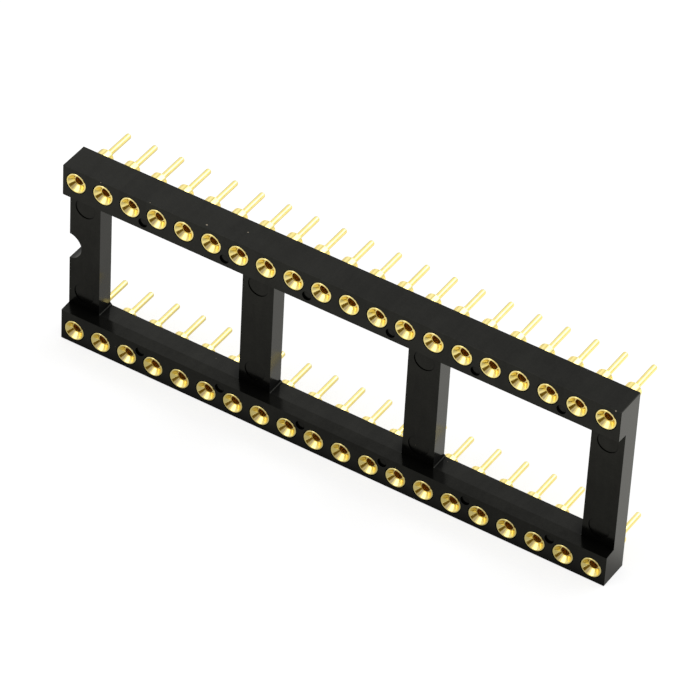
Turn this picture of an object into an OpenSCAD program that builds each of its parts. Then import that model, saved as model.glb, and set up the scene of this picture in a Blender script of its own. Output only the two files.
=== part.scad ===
// Open-frame DIP socket for an integrated circuit, with turned contacts.
// It stands on one long side: X runs along the socket, Z across its two rows,
// the chip face looks towards -Y and the solder tails point towards +Y.

/* [Contact grid] */
// Contacts in each row
pins_per_row = 20; // [12:2:20]
// Distance between neighbouring contacts
pitch = 2.54; // [2.4:0.02:2.7]
// Distance between the two rows
row_spacing = 15.24; // [11:0.02:18]

/* [Housing] */
// Thickness of the rails, from the board side to the chip face
rail_t = 2.85; // [2.4:0.05:4]
// From a row's line to the outer side of its rail
rail_outer = 1.32; // [1.1:0.02:1.6]
// From a row's line to the inner edge of its rail, at the chip face
rail_inner = 1.62; // [1.4:0.02:2.2]
// From the last contact's axis to the end of the housing
end_margin = 1.27; // [1.1:0.01:1.8]
// How far the bars lie below the chip face
bar_recess = 1.1; // [0.6:0.05:1.5]
// Width of each bar
bar_w = 2.91; // [1.5:0.01:4]
// Pitches from the middle of the socket to each middle bar
mid_bar_pitches = 3; // [2:1:4]
// Draft of each moulded inner wall, from the parting line to its far edge
wall_draft = 0.08; // [0:0.02:0.16]
// Radius of the upright corners of the housing
corner_r = 0.06; // [0.04:0.02:0.6]
// Chamfer round the chip face
edge_chamfer = 0.04; // [0.02:0.01:0.4]
// Radius in the corners of the windows
window_r = 0.1; // [0.04:0.02:0.6]
// Chamfer at the board side of the holes for the contacts
hole_chamfer = 0.16; // [0.05:0.01:0.3]

/* [Moulded marks] */
// Radius of the notch that marks the end with contact 1
notch_r = 1.25; // [0.8:0.05:2]
// Depth of the notch into the end bar
notch_depth = 1.13; // [0.6:0.01:1.25]
// Radius of each ejector mark on the bars
ejector_r = 0.94; // [0.4:0.02:1.2]
// Depth of the ejector marks
ejector_depth = 0.07; // [0.03:0.01:0.2]
// From a rail's inner edge to the middle of an ejector mark
ejector_inset = 1.62; // [1.3:0.02:2.5]
// Radius of each dimple in the chip face
dimple_r = 0.42; // [0.2:0.02:0.5]
// Depth of the dimples
dimple_depth = 0.16; // [0.1:0.02:0.6]
// From a row's line to the middle of its dimples
dimple_inset = 0.94; // [0.8:0.02:1]
// Contacts between one dimple and the next
dimple_every = 3; // [2:1:5]

/* [Turned contact] */
// Diameter of the head
head_d = 1.8; // [1.7:0.01:1.95]
// Thickness of the head
head_t = 0.5; // [0.3:0.05:0.8]
// Width of the flat rim round the funnel
rim_w = 0.11; // [0.05:0.005:0.2]
// Depth of the funnel
funnel_depth = 0.44; // [0.3:0.02:0.8]
// Diameter of the bore below the funnel
bore_d = 0.92; // [0.84:0.02:1.04]
// Depth of the bore below the funnel, to its conical floor
bore_depth = 2.6; // [2.4:0.05:2.8]
// Slope of the conical floor that the drill leaves
drill_slope = 31; // [20:1:45]
// Diameter of the body, which sticks out of the board side as a collar
body_d = 1.37; // [1.25:0.01:1.5]
// How far the collar holds the housing off the board
stand_off = 1.42; // [1.2:0.02:2.5]
// Diameter of the solder tail
tail_d = 0.5; // [0.4:0.01:0.7]
// Length of the solder tail
tail_len = 3.2; // [2:0.05:5]
// Radius of the rounded end of the tail
tail_tip_r = 0.17; // [0.05:0.01:0.19]
// Radius between the tail and the collar
tail_fillet_r = 0.1; // [0.05:0.01:0.2]
// Edge break on the head and the collar
turned_chamfer = 0.03; // [0.02:0.01:0.08]

/* [Contact clip] */
// Thickness of the clip's metal
clip_t = 0.06; // [0.04:0.01:0.1]
// Length of the clip's ring
clip_ring = 0.5; // [0.3:0.05:0.8]
// Length of each finger, from the ring to where it grips
finger_len = 1.2; // [0.8:0.05:1.3]
// Length of the flared end of each finger
finger_flare_len = 0.35; // [0.2:0.05:0.4]
// How far each finger flares back out, of the way to the wall of the bore
finger_flare_part = 0.6; // [0.2:0.05:0.8]
// Diameter that the fingers leave open
grip_d = 0.48; // [0.4:0.01:0.56]
// Width of the slots between the fingers
slot_w = 0.14; // [0.08:0.01:0.2]
// Depth of the clip's ring below the funnel
clip_drop = 0.03; // [0.01:0.01:0.2]

/* [Fits] */
// Clearance round the head in its counterbore
head_gap = 0.06; // [0.02:0.01:0.1]
// Clearance round the body in the housing
body_gap = 0.01; // [0.005:0.005:0.05]
// Clearance round the clip's ring in the bore
clip_gap = 0.005; // [0.005:0.005:0.02]

/* [Hidden] */
$fn = 48;
pin_count = 2 * pins_per_row;
function two_digits(n) = n < 10 ? str("0", n) : str(n);
function pin_name(n) = str("pin_", two_digits(n));

// Heights are measured from the board, which the collars rest on.
housing_l = (pins_per_row - 1) * pitch + 2 * end_margin;
housing_w = row_spacing + 2 * rail_outer;
back_z = stand_off;
chip_z = stand_off + rail_t;
bar_z = chip_z - bar_recess;
row_y = row_spacing / 2;
window_w = row_spacing - 2 * rail_inner;
floor_z = chip_z - head_t;
bore_r = bore_d / 2;
head_r = head_d / 2;
body_r = body_d / 2;
tail_r = tail_d / 2;
funnel_z = chip_z - funnel_depth;
bore_z = funnel_z - bore_depth;
drill_tip = bore_r * tan(drill_slope);
clip_r = bore_r - clip_gap;
clip_z = funnel_z - clip_drop;
ring_z = clip_z - clip_ring;
grip_r = grip_d / 2;
flare = finger_flare_part * (bore_r - clip_t - grip_r);
arc_steps = 6;
eps = 0.02;
over = 1;

// Bars that cross the frame, at the two ends and on both sides of the middle
end_bar_x = housing_l / 2 - bar_w / 2;
mid_bar_x = mid_bar_pitches * pitch;
bars_x = [-end_bar_x, -mid_bar_x, mid_bar_x, end_bar_x];

// Contacts count along the first row and back along the second, as on the chip.
function pin_column(n) = n <= pins_per_row ? n - 1 : pin_count - n;
function pin_x(n) = (pin_column(n) - (pins_per_row - 1) / 2) * pitch;
function pin_y(n) = n <= pins_per_row ? -row_y : row_y;

// A quarter arc of radius r about [x, y], from angle a to angle a + sweep
function arc(x, y, r, a, sweep) = [
    for (i = [0:arc_steps]) let (b = a + sweep * i / arc_steps) [x + r * cos(b), y + r * sin(b)]
];

// Stands the socket on its first row's long side, chip face forwards.
module standing() {
    translate([0, stand_off + rail_t / 2, housing_w / 2]) rotate([90, 0, 0]) children();
}

// Puts its children on the axis of contact n.
module at_pin(n) {
    translate([pin_x(n), pin_y(n), 0]) children();
}

// One rail: a flat outer side, a chamfered outer edge and an inner side that
// tapers both ways from the parting line, which lies level with the bars.
module rail() {
    outer = row_y + rail_outer;
    inner = row_y - rail_inner;
    rotate([90, 0, 90]) linear_extrude(housing_l, center = true) polygon([
        [outer, back_z],
        [outer, chip_z - edge_chamfer],
        [outer - edge_chamfer, chip_z],
        [inner, chip_z],
        [inner - wall_draft, bar_z],
        [inner, back_z]
    ]);
}

// One bar, drafted towards the board side. left and right say which of its
// sides are drafted: the outer sides of the end bars are not.
module bar(x, left, right) {
    translate([x, 0, 0]) rotate([90, 0, 0]) linear_extrude(row_spacing, center = true) polygon([
        [-bar_w / 2 + left * wall_draft, back_z],
        [-bar_w / 2, bar_z],
        [bar_w / 2, bar_z],
        [bar_w / 2 - right * wall_draft, back_z]
    ]);
}

// The web of plastic in one corner of a window, which points towards +X and +Y.
module corner_web(r) {
    translate([-r, -r, back_z]) linear_extrude(bar_z - back_z) difference() {
        square(r + 2 * wall_draft);
        circle(r);
    }
}

// The four webs in the corners of the window between x0 and x1
module window_corners(x0, x1) {
    for (m = [0, 1]) mirror([0, m, 0]) {
        translate([x1, window_w / 2 - wall_draft, 0]) corner_web(window_r);
        translate([x0, window_w / 2 - wall_draft, 0]) mirror([1, 0, 0]) corner_web(window_r);
    }
}

// The outline seen from the chip side, with rounded corners
module rounded_block() {
    l = housing_l / 2 - corner_r;
    w = housing_w / 2 - corner_r;
    translate([0, 0, back_z]) linear_extrude(rail_t) union() {
        square([housing_l, 2 * w], center = true);
        square([2 * l, housing_w], center = true);
        for (sx = [-1, 1]) for (sy = [-1, 1]) translate([sx * l, sy * w]) circle(corner_r);
    }
}

// The outline seen from the long side, with a chamfer at each end of the chip face
module chamfered_block() {
    l = housing_l / 2;
    rotate([90, 0, 0]) linear_extrude(housing_w + over, center = true) polygon([
        [-l, back_z],
        [l, back_z],
        [l, chip_z - edge_chamfer],
        [l - edge_chamfer, chip_z],
        [-l + edge_chamfer, chip_z],
        [-l, chip_z - edge_chamfer]
    ]);
}

// The seat of one contact: a counterbore for the head and a hole for the body
module contact_seat() {
    translate([0, 0, back_z - over]) cylinder(h = rail_t + over, r = body_r + body_gap);
    translate([0, 0, floor_z]) cylinder(h = head_t + over, r = head_r + head_gap);
    translate([0, 0, back_z - eps]) cylinder(
        h = hole_chamfer,
        r1 = body_r + hole_chamfer,
        r2 = body_r
    );
}

// Shallow round marks that the mould's ejector pins leave on the bars
module ejector_marks() {
    y = window_w / 2 - ejector_inset;
    for (x = bars_x) for (side = [-1, 1]) {
        translate([x, side * y, bar_z - ejector_depth]) cylinder(h = over, r = ejector_r);
    }
}

// Dimples between the contacts, on the window side of both rows
module dimples() {
    for (k = [dimple_every:dimple_every:pins_per_row - 1]) for (side = [-1, 1]) {
        translate([
            (k - pins_per_row / 2) * pitch,
            side * (row_y - dimple_inset),
            chip_z - dimple_depth
        ]) cylinder(h = dimple_depth + over, r = dimple_r);
    }
}

// The half-round notch at the end with contact 1
module end_notch() {
    translate([-housing_l / 2 + notch_depth - notch_r, 0, back_z - over])
        cylinder(h = rail_t + 2 * over, r = notch_r);
}

// The moulded frame: two rails joined by four bars, with three open windows
module housing_shape() {
    difference() {
        intersection() {
            union() {
                rail();
                mirror([0, 1, 0]) rail();
                bar(bars_x[0], 0, 1);
                bar(bars_x[1], 1, 1);
                bar(bars_x[2], 1, 1);
                bar(bars_x[3], 1, 0);
                for (i = [0:2]) window_corners(bars_x[i] + bar_w / 2, bars_x[i + 1] - bar_w / 2);
            }
            rounded_block();
            chamfered_block();
        }
        for (n = [1:pin_count]) at_pin(n) contact_seat();
        dimples();
        ejector_marks();
        end_notch();
    }
}

// Half section of the turned contact: tail, collar, body, head, funnel and bore
function pin_section() = concat(
    [[0, -tail_len]],
    arc(tail_r - tail_tip_r, tail_tip_r - tail_len, tail_tip_r, -90, 90),
    arc(tail_r + tail_fillet_r, -tail_fillet_r, tail_fillet_r, 180, -90),
    [
        [body_r - turned_chamfer, 0],
        [body_r, turned_chamfer],
        [body_r, floor_z],
        [head_r, floor_z],
        [head_r, chip_z - turned_chamfer],
        [head_r - turned_chamfer, chip_z],
        [head_r - rim_w, chip_z],
        [bore_r, funnel_z],
        [bore_r, bore_z],
        [0, bore_z - drill_tip]
    ]
);

module pin_shape() {
    rotate_extrude() polygon(pin_section());
}

// Half section of the clip: a ring, fingers that close in and their flared ends
function clip_section() = [
    [clip_r - clip_t, clip_z],
    [clip_r, clip_z],
    [clip_r, ring_z],
    [grip_r + clip_t, ring_z - finger_len],
    [grip_r + clip_t + flare, ring_z - finger_len - finger_flare_len],
    [grip_r + flare, ring_z - finger_len - finger_flare_len],
    [grip_r, ring_z - finger_len],
    [clip_r - clip_t, ring_z]
];

// The clip in the bore: two crossing slots part its lower end into four fingers
module clip_shape() {
    fingers = finger_len + finger_flare_len;
    difference() {
        rotate_extrude() polygon(clip_section());
        for (a = [45, 135]) rotate([0, 0, a]) translate([-body_d, -slot_w / 2, ring_z - fingers - over])
            cube([2 * body_d, slot_w, fingers + over]);
    }
}

module housing() {
    color([0.09, 0.09, 0.09]) standing() housing_shape();
}

module pin(n) {
    color([0.86, 0.69, 0.33]) standing() at_pin(n) pin_shape();
}

module clips(first, last) {
    color([0.72, 0.52, 0.2]) standing() for (n = [first:last]) at_pin(n) clip_shape();
}

housing();
for (n = [1:pin_count]) {
    pin(n);
}
clips(1, pins_per_row);  // clips_first_row
clips(pins_per_row + 1, pin_count);  // clips_second_row
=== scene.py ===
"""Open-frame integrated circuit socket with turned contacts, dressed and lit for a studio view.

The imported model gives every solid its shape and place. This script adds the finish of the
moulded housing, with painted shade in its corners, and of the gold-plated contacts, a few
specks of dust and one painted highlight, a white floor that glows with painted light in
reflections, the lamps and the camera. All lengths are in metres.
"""
import math

import bpy
from mathutils import Matrix, Vector


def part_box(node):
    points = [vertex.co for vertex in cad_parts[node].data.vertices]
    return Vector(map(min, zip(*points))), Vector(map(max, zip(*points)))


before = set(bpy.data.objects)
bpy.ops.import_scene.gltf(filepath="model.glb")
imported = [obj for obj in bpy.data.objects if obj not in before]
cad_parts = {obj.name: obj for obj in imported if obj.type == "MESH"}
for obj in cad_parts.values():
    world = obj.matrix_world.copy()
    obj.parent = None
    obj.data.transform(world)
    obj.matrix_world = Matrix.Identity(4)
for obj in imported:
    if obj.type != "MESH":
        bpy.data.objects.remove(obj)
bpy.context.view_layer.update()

MM = 0.001

# The contact grid, as the model has it
PITCH = 2.54 * MM
ROW_SPACING = 15.24 * MM

# Places read from the frame
HOUSING_LOW, HOUSING_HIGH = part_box("housing")
PIN_LOW, PIN_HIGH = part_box("pin_01")
FIRST_PIN_X = (PIN_LOW.x + PIN_HIGH.x) / 2
FIRST_ROW_Z = (PIN_LOW.z + PIN_HIGH.z) / 2
CHIP_FACE_Y = HOUSING_LOW.y

# The view: a long lens from above, in front and to the right
VIEW_AZIMUTH = math.radians(30.21)
VIEW_ELEVATION = math.radians(40.85)
VIEW_ROLL = math.radians(3.34)
VIEW_DISTANCE = 409.71 * MM
VIEW_AIM = Vector((0.77 * MM, CHIP_FACE_Y + 1.44 * MM, FIRST_ROW_Z + 9.43 * MM))
LENS = 271.44
SENSOR = 36

# Brightness of the white tent: on surfaces, and as it is mirrored
TENT_LIGHT = 0.6
TENT_MIRRORED = 0.89

# Parts of the tent that look different when mirrored: direction, inner and outer angle in
# degrees, colour. They are its back, a glow above the back on the left, the camera with its
# holder, and the unlit side of the room.
TENT_CARDS = (
    ((0, 0.95, 0.3), 30, 75, (0.79, 0.79, 0.79, 1)),
    ((-0.62, 0.55, 0.55), 5, 24, (1.13, 1.13, 1.1, 1)),
    ((0.38, -0.65, 0.65), 8, 17, (0.42, 0.38, 0.5, 1)),
    ((0.88, -0.45, 0.16), 20, 36, (0.123, 0.078, 0.009, 1)),
)

# Painted glow of the floor, seen only in reflections: in front far and near, behind left and right.
# # Its dip close in front is painted shade of the socket, its rise behind on the right a painted
# pool of light.
FLOOR_IN_FRONT = (0.94, 0.48)
FLOOR_BEHIND = (0.62, 1.29)

# The lamps: place, width and height, power in watts
LEFT_SOFTBOX = ((-0.42, -0.4, 0.74), (0.6, 0.6), 1.25)
REAR_SOFTBOX = ((0.3, 0.6, 0.6), (0.7, 0.5), 2.2)
LAMP_AIM = (0, 0, 0.01)

# What the floor shows the camera everywhere, in its shadows too
FLOOR_WHITE = 0.74

# The mould's parting line on the lower rail: its height, depth and left end
PARTING_Z = FIRST_ROW_Z + 1.62 * MM
PARTING_Y = CHIP_FACE_Y + 1.1 * MM
PARTING_LEFT = -20.5 * MM

# Specks that lie on the housing: place, radius. All are dust but the one at 24.9 mm, a painted
# highlight near the top right corner.
FLECK_SPOTS_AND_GLINT = (
    ((-12.1 * MM, CHIP_FACE_Y + 0.4 * MM, HOUSING_HIGH.z), 0.1 * MM),
    ((-9.0 * MM, CHIP_FACE_Y + 1.5 * MM, HOUSING_HIGH.z), 0.06 * MM),
    ((-21.8 * MM, CHIP_FACE_Y, HOUSING_HIGH.z - 0.1 * MM), 0.06 * MM),
    ((-17.2 * MM, CHIP_FACE_Y + 0.1 * MM, HOUSING_HIGH.z), 0.05 * MM),
    # A painted highlight near the top right corner, drawn as a pale speck
    ((24.9 * MM, CHIP_FACE_Y, HOUSING_HIGH.z - 0.06 * MM), 0.09 * MM),
    ((7.3 * MM, PARTING_Y, FIRST_ROW_Z + 3.1 * MM), 0.09 * MM),
)
FLECK_BEND = 0.08 * MM

# Scales of the fine patterns, in repeats to the metre
FLOW_SCALE = 420
FIBRE_SCALE = 5200
GRAIN_SCALE = 14000
DUST_SCALE = 600
BEND_SCALE = 9000
RING_SCALE = 26000
CLOUD_SCALE = 900

# Painted shade: how near another wall of the housing has to be to darken the plastic's reflection
CORNER_SHADE_REACH = 2.0 * MM

# Colours
PLASTIC_DARK = (0.0006, 0.0006, 0.0005, 1)
PLASTIC_LIGHT = (0.0018, 0.0018, 0.0014, 1)
# The pale colour of the dust, also used for the painted highlight
DUST_AND_GLINT_COLOUR = (0.42, 0.36, 0.27, 1)
GOLD = (0.96, 0.81, 0.34, 1)
GOLD_CLOUD = (0.92, 0.76, 0.27, 1)
CLIP_CLOUD = (0.9, 0.7, 0.25, 1)
CLIP_INSIDE = (0.8, 0.46, 0.07, 1)
PAPER = (0.8, 0.8, 0.79, 1)
PAPER_TO_CAMERA = (0.4, 0.4, 0.4, 1)
PAPER_MIRRORED = (1, 0.99, 0.93, 1)


# ---------------------------------------------------------------- node helpers

class Nodes:
    """A short way to write a node tree: add nodes by type, link and set sockets by name."""

    def __init__(self, tree):
        self.tree = tree
        tree.nodes.clear()

    def add(self, kind, inputs=None, **props):
        node = self.tree.nodes.new(kind)
        for key, value in props.items():
            setattr(node, key, value)
        for key, value in (inputs or {}).items():
            self.put(node.inputs[key], value)
        return node

    def put(self, socket, value):
        if isinstance(value, bpy.types.NodeSocket):
            self.tree.links.new(value, socket)
        else:
            socket.default_value = value

    def math(self, operation, a, b=0.0):
        return self.add("ShaderNodeMath", {0: a, 1: b}, operation=operation).outputs[0]

    def vector(self, operation, a, b, output="Vector"):
        node = self.add("ShaderNodeVectorMath", {0: a, 1: b}, operation=operation)
        return node.outputs[output]

    def spread(self, value, low, high, to_low=0.0, to_high=1.0):
        """Maps low..high to to_low..to_high with soft ends."""
        node = self.add(
            "ShaderNodeMapRange",
            {
                "Value": value,
                "From Min": low,
                "From Max": high,
                "To Min": to_low,
                "To Max": to_high,
            },
            interpolation_type="SMOOTHSTEP",
        )
        return node.outputs["Result"]

    def noise(self, vector, scale, detail=3.0, roughness=0.55):
        node = self.add(
            "ShaderNodeTexNoise",
            {"Vector": vector, "Scale": scale, "Detail": detail, "Roughness": roughness},
        )
        return node.outputs["Fac"]

    def mix_value(self, factor, a, b):
        node = self.add("ShaderNodeMix", {0: factor, 2: a, 3: b}, data_type="FLOAT")
        return node.outputs[0]

    def mix_colour(self, factor, a, b):
        node = self.add("ShaderNodeMix", data_type="RGBA")
        self.put(node.inputs["Factor"], factor)
        self.put(node.inputs[6], a)
        self.put(node.inputs[7], b)
        return node.outputs[2]

    def rays(self):
        """Two values that are 1 for a ray from the camera and for a mirrored ray."""
        path = self.add("ShaderNodeLightPath").outputs
        seen = self.math("MAXIMUM", path["Is Camera Ray"], path["Is Transmission Ray"])
        return seen, path["Is Glossy Ray"]


def new_material(name):
    material = bpy.data.materials.new(name)
    material.use_nodes = True
    return material, Nodes(material.node_tree)


def finish_material(nodes, shader):
    nodes.add("ShaderNodeOutputMaterial", {"Surface": shader})


def grey(level):
    return (level, level, level, 1)


# ------------------------------------------------------------------- materials

def dust_and_glint_cover(n, place):
    """How much pale colour lies at a place: most on the listed specks, less on a scatter of fine
    dust. The speck near the right end is a painted highlight; the rest are dust.
    """
    wobble = n.vector("MULTIPLY", n.noise(place, BEND_SCALE, 2), (FLECK_BEND,) * 3)
    bent = n.vector("ADD", place, wobble)
    dust = n.add("ShaderNodeTexVoronoi", {"Vector": place, "Scale": DUST_SCALE}).outputs
    rare = n.add("ShaderNodeSeparateColor", {0: dust["Color"]}).outputs[0]
    specks = n.spread(dust["Distance"], 0.015, 0.035, 0.3, 0.0)
    amount = n.math("MULTIPLY", specks, n.spread(rare, 0.7, 0.75))
    for spot, radius in FLECK_SPOTS_AND_GLINT:
        # The noise is a half on average, so the bend moves a fleck by half its size
        centre = Vector(spot) + Vector((FLECK_BEND / 2,) * 3)
        away = n.vector("DISTANCE", bent, centre, "Value")
        amount = n.math("MAXIMUM", amount, n.spread(away, radius * 0.5, radius, 0.8, 0.0))
    return amount


def parting_line(n, axes):
    """1 on the thin line that the mould's halves left along the lower rail."""
    off_up = n.math("ABSOLUTE", n.math("SUBTRACT", axes.outputs["Z"], PARTING_Z))
    off_back = n.math("ABSOLUTE", n.math("SUBTRACT", axes.outputs["Y"], PARTING_Y))
    line = n.math(
        "MULTIPLY",
        n.spread(off_up, 0.03 * MM, 0.06 * MM, 1.0, 0.0),
        n.spread(off_back, 0.02 * MM, 0.05 * MM, 1.0, 0.0),
    )
    return n.math("MULTIPLY", line, n.math("GREATER_THAN", axes.outputs["X"], PARTING_LEFT))


def housing_material():
    """Black glass-filled plastic: a smooth moulded skin with faint flow marks, grain and dust,
    a painted highlight near the right end, and painted shade that dims its reflection in corners.
    """
    material, n = new_material("moulded_black_plastic")
    place = n.add("ShaderNodeTexCoord").outputs["Object"]
    axes = n.add("ShaderNodeSeparateXYZ", {0: place})
    stretched = n.add("ShaderNodeMapping", {"Vector": place, "Scale": (4, 0.6, 0.6)}).outputs[0]
    mottle = n.noise(place, FLOW_SCALE, 4)
    flow = n.noise(stretched, FLOW_SCALE, 3)
    fibres = n.noise(place, FIBRE_SCALE, 2)
    grain = n.noise(place, GRAIN_SCALE, 2)
    dust_and_glint = dust_and_glint_cover(n, place)
    colour = n.mix_colour(mottle, PLASTIC_DARK, PLASTIC_LIGHT)
    colour = n.mix_colour(dust_and_glint, colour, DUST_AND_GLINT_COLOUR)
    rough = n.spread(mottle, 0.3, 0.7, 0.12, 0.17)
    rough = n.math("ADD", rough, n.math("MULTIPLY", fibres, 0.04))
    rough = n.mix_value(dust_and_glint, rough, 0.8)
    shine = n.spread(flow, 0.3, 0.7, 0.86, 1.02)
    shine = n.math("ADD", shine, n.spread(fibres, 0.35, 0.65, -0.06, 0.08))
    shine = n.math("ADD", shine, n.spread(mottle, 0.35, 0.65, -0.1, 0.06))
    shine = n.math("MULTIPLY", shine, n.spread(parting_line(n, axes), 0.0, 1.0, 1.0, 0.25))
    # Painted shade: the plastic's reflection dims where other walls are near, in corners and at the
    # feet of the bars
    painted_corner_shade = n.add("ShaderNodeAmbientOcclusion", {"Distance": CORNER_SHADE_REACH}, samples=8)
    shine = n.math("MULTIPLY", shine, n.spread(painted_corner_shade.outputs["AO"], 0.55, 0.92, 0.03, 1.0))
    tint = n.add("ShaderNodeCombineColor", {0: shine, 1: shine, 2: n.math("MULTIPLY", shine, 0.88)})
    height = n.math("ADD", n.math("MULTIPLY", fibres, 0.6), n.math("MULTIPLY", grain, 0.4))
    bump = n.add("ShaderNodeBump", {"Strength": 0.09, "Distance": 0.004 * MM, "Height": height})
    shader = n.add(
        "ShaderNodeBsdfPrincipled",
        {
            "Base Color": colour,
            "Roughness": rough,
            "Specular IOR Level": 0.2,
            "Specular Tint": tint.outputs[0],
            "Normal": bump.outputs[0],
        },
    )
    finish_material(n, shader.outputs[0])
    return material


def contact_radius(n):
    """Distance from the axis of the nearest contact, worked out from the grid, and the depth."""
    place = n.add("ShaderNodeTexCoord").outputs["Object"]
    axes = n.add("ShaderNodeSeparateXYZ", {0: place}).outputs
    squares = []
    for axis, first, step in (("X", FIRST_PIN_X, PITCH), ("Z", FIRST_ROW_Z, ROW_SPACING)):
        off = n.math("SUBTRACT", axes[axis], first - step / 2)
        off = n.math("SUBTRACT", n.math("FLOORED_MODULO", off, step), step / 2)
        squares.append(n.math("MULTIPLY", off, off))
    return n.math("SQRT", n.math("ADD", *squares)), axes["Y"]


def gold_material(name, cloud_colour, roughness, dull_from=None):
    """Gold plating on a turned part: fine rings from the tool under a bright plate.

    Behind the depth dull_from, where one is given, it is dull and orange.
    """
    material, n = new_material(name)
    place = n.add("ShaderNodeTexCoord").outputs["Object"]
    radius, depth = contact_radius(n)
    turning = n.add("ShaderNodeCombineXYZ", {"X": radius, "Y": depth, "Z": 0.0}).outputs[0]
    rings = n.noise(turning, RING_SCALE, 2)
    cloud = n.noise(place, CLOUD_SCALE, 3)
    tint = n.mix_colour(n.spread(cloud, 0.3, 0.7), GOLD, cloud_colour)
    rough = n.spread(cloud, 0.3, 0.7, roughness * 0.8, roughness * 1.2)
    rough = n.math("ADD", rough, n.math("MULTIPLY", rings, 0.05))
    if dull_from is not None:
        inside = n.spread(depth, dull_from, dull_from + 0.05 * MM)
        tint = n.mix_colour(inside, tint, CLIP_INSIDE)
        rough = n.mix_value(inside, rough, 0.5)
    bump = n.add("ShaderNodeBump", {"Strength": 0.06, "Distance": 0.002 * MM, "Height": rings})
    shader = n.add(
        "ShaderNodeBsdfPrincipled",
        {"Base Color": tint, "Metallic": 1.0, "Roughness": rough, "Normal": bump.outputs[0]},
    )
    finish_material(n, shader.outputs[0])
    return material


def floor_material():
    """White paper, nearly blown out to the camera, with the soft shadow left in.

    Mirrored in the socket it glows with painted light: dim close in front, a painted shade of the
    socket, brighter further out, and brightest behind on the right, a painted pool of light.
    """
    material, n = new_material("floor_paper")
    seen, glossy = n.rays()
    place = n.add("ShaderNodeTexCoord").outputs["Object"]
    axes = n.add("ShaderNodeSeparateXYZ", {0: place}).outputs
    across, deep = axes["X"], axes["Y"]
    # A glow painted on the floor for mirrored rays: painted shade in front, painted light behind on
    # the right
    front = n.spread(deep, -22 * MM, -2 * MM, *FLOOR_IN_FRONT)
    behind = n.spread(across, -40 * MM, 60 * MM, *FLOOR_BEHIND)
    level = n.mix_value(n.spread(deep, 0.0, 4 * MM), front, behind)
    paper = n.add("ShaderNodeBsdfDiffuse", {"Color": PAPER})
    shade = n.add("ShaderNodeBsdfDiffuse", {"Color": PAPER_TO_CAMERA})
    white = n.add("ShaderNodeEmission", {"Strength": FLOOR_WHITE})
    mirrored = n.add("ShaderNodeEmission", {"Color": PAPER_MIRRORED, "Strength": level})
    to_camera = n.add("ShaderNodeAddShader", {0: shade.outputs[0], 1: white.outputs[0]})
    first = n.add(
        "ShaderNodeMixShader",
        {0: glossy, 1: paper.outputs[0], 2: mirrored.outputs[0]},
    )
    both = n.add("ShaderNodeMixShader", {0: seen, 1: first.outputs[0], 2: to_camera.outputs[0]})
    finish_material(n, both.outputs[0])
    return material


# ----------------------------------------------------------------------- stage

def make_camera():
    azimuth, elevation = VIEW_AZIMUTH, VIEW_ELEVATION
    back = Vector((
        math.sin(azimuth) * math.cos(elevation),
        -math.cos(azimuth) * math.cos(elevation),
        math.sin(elevation),
    ))
    right = Vector((math.cos(azimuth), math.sin(azimuth), 0))
    up = back.cross(right)
    tilt = Matrix((right, up, back)).transposed() @ Matrix.Rotation(VIEW_ROLL, 3, "Z")
    data = bpy.data.cameras.new("view_camera")
    data.lens = LENS
    data.sensor_width = SENSOR
    data.clip_start = 10 * MM
    data.clip_end = 20
    camera = bpy.data.objects.new("view_camera", data)
    bpy.context.scene.collection.objects.link(camera)
    camera.matrix_world = Matrix.Translation(VIEW_AIM + VIEW_DISTANCE * back) @ tilt.to_4x4()
    bpy.context.scene.camera = camera


def make_floor():
    """A wide sheet of white paper under the socket."""
    mesh = bpy.data.meshes.new("floor")
    mesh.from_pydata([(-2, -2, 0), (2, -2, 0), (2, 2, 0), (-2, 2, 0)], [], [(0, 1, 2, 3)])
    mesh.materials.append(floor_material())
    floor = bpy.data.objects.new("floor", mesh)
    bpy.context.scene.collection.objects.link(floor)


def make_area_lamp(name, place, size, power):
    data = bpy.data.lights.new(name, "AREA")
    data.shape = "RECTANGLE"
    data.size, data.size_y = size
    data.energy = power
    lamp = bpy.data.objects.new(name, data)
    bpy.context.scene.collection.objects.link(lamp)
    lamp.location = place
    lamp.rotation_euler = (Vector(LAMP_AIM) - Vector(place)).to_track_quat("-Z", "Y").to_euler()


def make_world():
    """A white tent: plain light on matt surfaces, white where it is seen, shaped in mirrors."""
    world = bpy.data.worlds.new("tent")
    world.use_nodes = True
    bpy.context.scene.world = world
    n = Nodes(world.node_tree)
    direction = n.add("ShaderNodeTexCoord").outputs["Generated"]

    tent = grey(TENT_MIRRORED)
    for aim, inner, outer, card in TENT_CARDS:
        near = math.cos(math.radians(inner))
        far = math.cos(math.radians(outer))
        closeness = n.vector("DOT_PRODUCT", direction, Vector(aim).normalized(), "Value")
        tent = n.mix_colour(n.spread(closeness, far, near), tent, card)
    seen, glossy = n.rays()
    light = n.mix_colour(glossy, grey(TENT_LIGHT), tent)
    colour = n.mix_colour(seen, light, grey(1))
    background = n.add("ShaderNodeBackground", {"Color": colour, "Strength": 1.0})
    n.add("ShaderNodeOutputWorld", {"Surface": background.outputs[0]})


# ------------------------------------------------------------------------ main

def dress_frame():
    plastic = housing_material()
    contact = gold_material("turned_contact_gold", GOLD_CLOUD, 0.13)
    clip_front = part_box("clips_first_row")[0].y
    clip = gold_material("clip_gold", CLIP_CLOUD, 0.16, clip_front + 0.02 * MM)
    for name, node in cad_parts.items():
        if name == "housing":
            material = plastic
        elif name.startswith("clips"):
            material = clip
        else:
            material = contact
        for slot in node.material_slots:
            slot.material = material


make_camera()
dress_frame()
make_world()
make_floor()
make_area_lamp("left_softbox", *LEFT_SOFTBOX)
make_area_lamp("rear_softbox", *REAR_SOFTBOX)
bpy.context.scene.view_settings.view_transform = "Standard"
